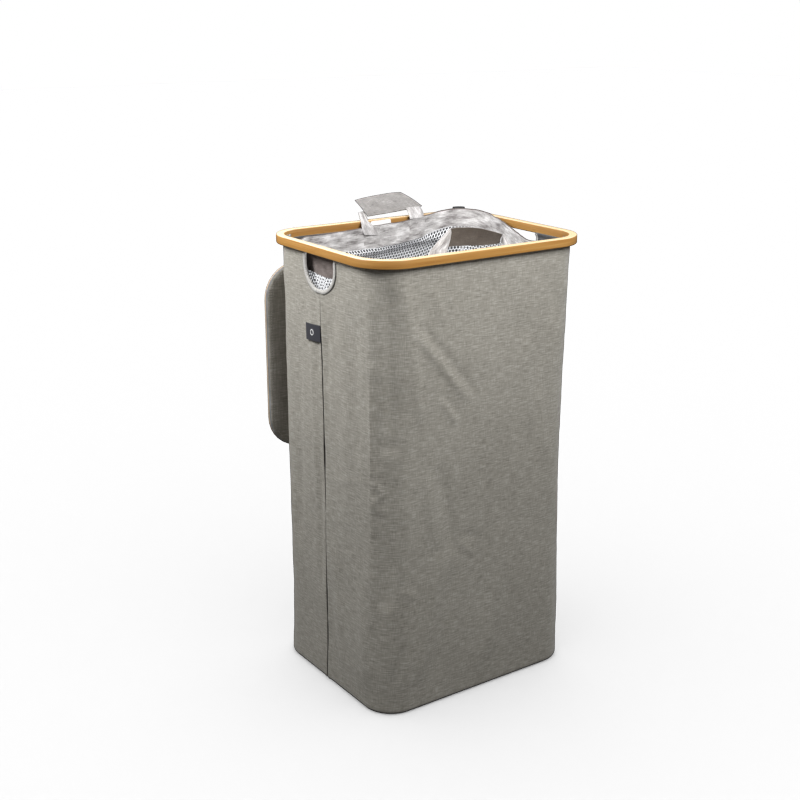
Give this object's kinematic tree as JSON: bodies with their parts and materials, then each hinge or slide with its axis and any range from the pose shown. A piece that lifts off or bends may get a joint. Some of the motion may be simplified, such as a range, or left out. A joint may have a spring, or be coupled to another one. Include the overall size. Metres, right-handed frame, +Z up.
{
  "type": "laundry hamper with lid",
  "caption": "Tall fabric laundry hamper with a bamboo rim, hand holes, a lid hung open behind it and a lift-out mesh bag with strap handles.",
  "frame": {"origin": "middle of the base's underside, where it stands on the floor", "axes": "+Z up, X along the long side, the lid hangs behind the +Y side"},
  "size_m": [0.404, 0.3296, 0.7643],
  "materials": {
    "bamboo": "clear satin lacquer over laminated bamboo",
    "cover_fabric": "warm grey melange linen-look weave, white coated inside",
    "base_fabric": "warm grey woven",
    "binding_tape": "folded woven tape",
    "stiff_board": "plain fibreboard",
    "padding": "soft wadding",
    "liner_fabric": "mottled grey woven",
    "liner_mesh": "knitted polyester mesh",
    "label": "woven satin",
    "care_tag": "printed satin",
    "webbing_tab": "hook tape",
    "plastic_fitting": "moulded",
    "rod_metal": "drawn tube, plain",
    "screw_steel": "zinc plated"
  },
  "bodies": {
    "hamper": {"bamboo_rim": "bamboo", "cover_front_panel": "cover_fabric", "cover_back_panel": "cover_fabric", "cover_base_panel": "base_fabric", "base_board": "stiff_board", "hand_hole_binding_left": "binding_tape", "hand_hole_binding_right": "binding_tape", "side_label": "label", "hinge_anchor": "cover_fabric", "support_rod_front_left": "rod_metal", "rod_sleeve_front_left": "liner_fabric", "rod_foot_front_left": "plastic_fitting", "rim_socket_front_left": "plastic_fitting", "socket_screw_front_left": "screw_steel", "support_rod_front_right": "rod_metal", "rod_sleeve_front_right": "liner_fabric", "rod_foot_front_right": "plastic_fitting", "rim_socket_front_right": "plastic_fitting", "socket_screw_front_right": "screw_steel", "support_rod_back_right": "rod_metal", "rod_sleeve_back_right": "liner_fabric", "rod_foot_back_right": "plastic_fitting", "rim_socket_back_right": "plastic_fitting", "socket_screw_back_right": "screw_steel", "support_rod_back_left": "rod_metal", "rod_sleeve_back_left": "liner_fabric", "rod_foot_back_left": "plastic_fitting", "rim_socket_back_left": "plastic_fitting", "socket_screw_back_left": "screw_steel"},
    "hinge_flap": {"hinge_flap": "cover_fabric"},
    "lid": {"lid_top_fabric": "cover_fabric", "lid_padding": "padding", "lid_board": "stiff_board", "lid_underside": "cover_fabric", "lid_edge_band": "cover_fabric"},
    "liner": {"liner_band": "liner_fabric", "liner_mesh": "liner_mesh", "liner_floor": "liner_mesh", "liner_tag": "care_tag", "liner_tab": "webbing_tab", "handle_back_end_left": "liner_fabric", "handle_back_end_right": "liner_fabric", "handle_front_end_left": "liner_fabric", "handle_front_end_right": "liner_fabric"},
    "handle_back": {"handle_back_strap": "liner_fabric"},
    "handle_front": {"handle_front_strap": "liner_fabric"}
  },
  "joints": [
    {"name": "flap_fold", "type": "hinge", "parent": "hamper", "child": "hinge_flap", "pos_m": [0, 0.16295, 0.6961], "axis": [1, 0, 0], "range_deg": [0, 180], "deforming": ["handle_back_strap", "handle_front_strap"]},
    {"name": "lid_fold", "type": "hinge", "parent": "hinge_flap", "child": "lid", "pos_m": [0, 0.1637, 0.6719], "axis": [1, 0, 0], "range_deg": [0, 90]},
    {"name": "liner_lift", "type": "slide", "parent": "hamper", "child": "liner", "axis": [0, 0, 1], "range_m": [0, 0.76]},
    {"name": "handle_back_swing", "type": "hinge", "parent": "liner", "child": "handle_back", "pos_m": [0.036, 0.1376, 0.719], "axis": [1, 0, 0], "range_deg": [-6, 190]},
    {"name": "handle_front_swing", "type": "hinge", "parent": "liner", "child": "handle_front", "pos_m": [-0.022, -0.1376, 0.719], "axis": [1, 0, 0], "range_deg": [-92, 80]}
  ]
}
